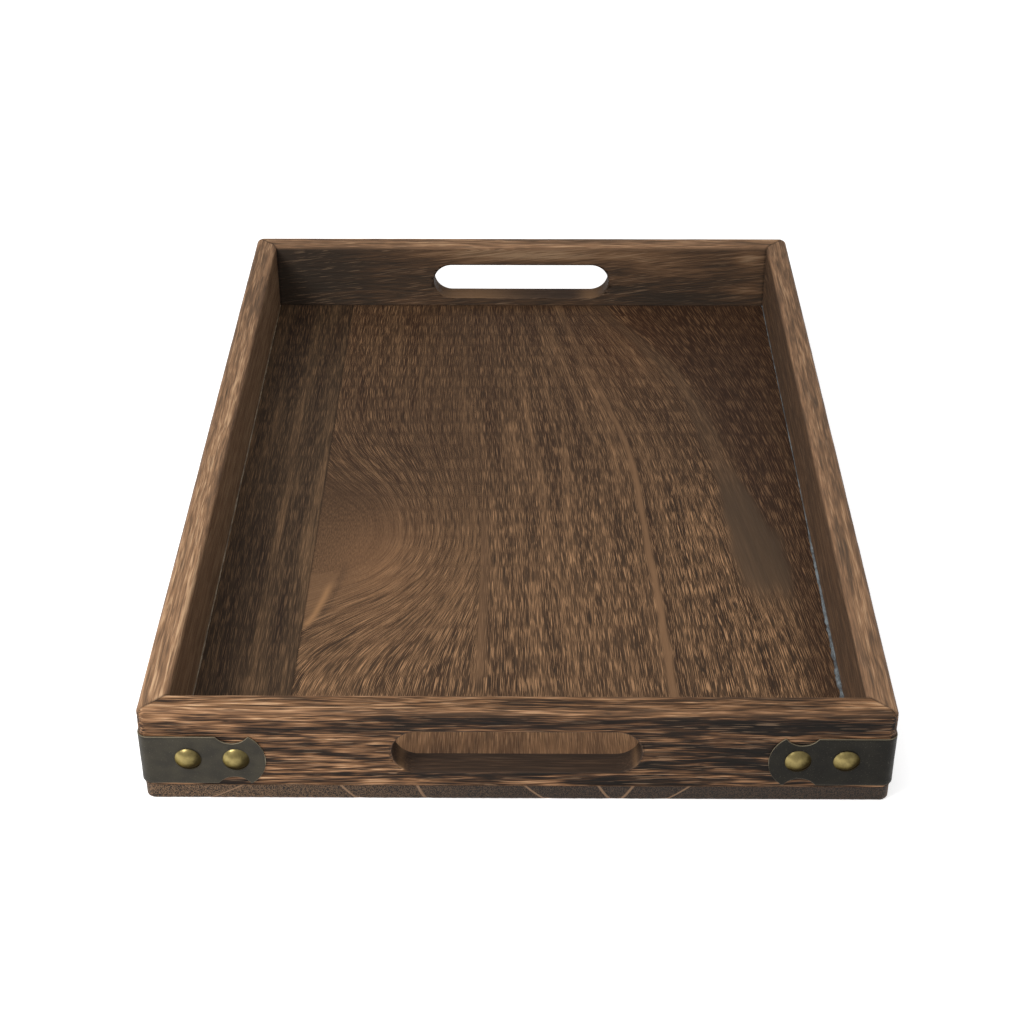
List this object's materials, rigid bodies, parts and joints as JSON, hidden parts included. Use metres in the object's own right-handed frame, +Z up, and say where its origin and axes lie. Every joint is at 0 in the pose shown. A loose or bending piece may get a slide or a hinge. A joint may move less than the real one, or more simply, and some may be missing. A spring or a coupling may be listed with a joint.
{
  "type": "serving tray",
  "caption": "Rectangular dark wooden serving tray with mitred rails, a handle slot in each short wall and metal corner straps held by domed nails.",
  "frame": {"origin": "middle of the underside, where the tray rests", "axes": "+Y along the long side, from the front wall to the back wall; +X to the right; +Z up"},
  "size_m": [0.3112, 0.4382, 0.046],
  "materials": {
    "rail_wood": "wire-brushed, dark torched grain, thin matt oil",
    "base_wood": "torched grain, thin satin oil",
    "strap_metal": "antique bronze, satin",
    "nail_brass": "antique brass, polished dome",
    "brad_steel": "galvanised"
  },
  "bodies": {
    "root": {"front_rail": "rail_wood", "back_rail": "rail_wood", "left_rail": "rail_wood", "right_rail": "rail_wood", "base_board_left": "base_wood", "base_board_right": "base_wood", "corner_strap_front_left": "strap_metal", "corner_strap_front_right": "strap_metal", "corner_strap_back_left": "strap_metal", "corner_strap_back_right": "strap_metal", "strap_nails_front_left": "nail_brass", "strap_nails_front_right": "nail_brass", "strap_nails_back_left": "nail_brass", "strap_nails_back_right": "nail_brass", "corner_brads_front_left": "brad_steel", "corner_brads_front_right": "brad_steel", "corner_brads_back_left": "brad_steel", "corner_brads_back_right": "brad_steel", "base_brads_front": "brad_steel", "base_brads_back": "brad_steel", "base_brads_left": "brad_steel", "base_brads_right": "brad_steel"}
  },
  "joints": []
}
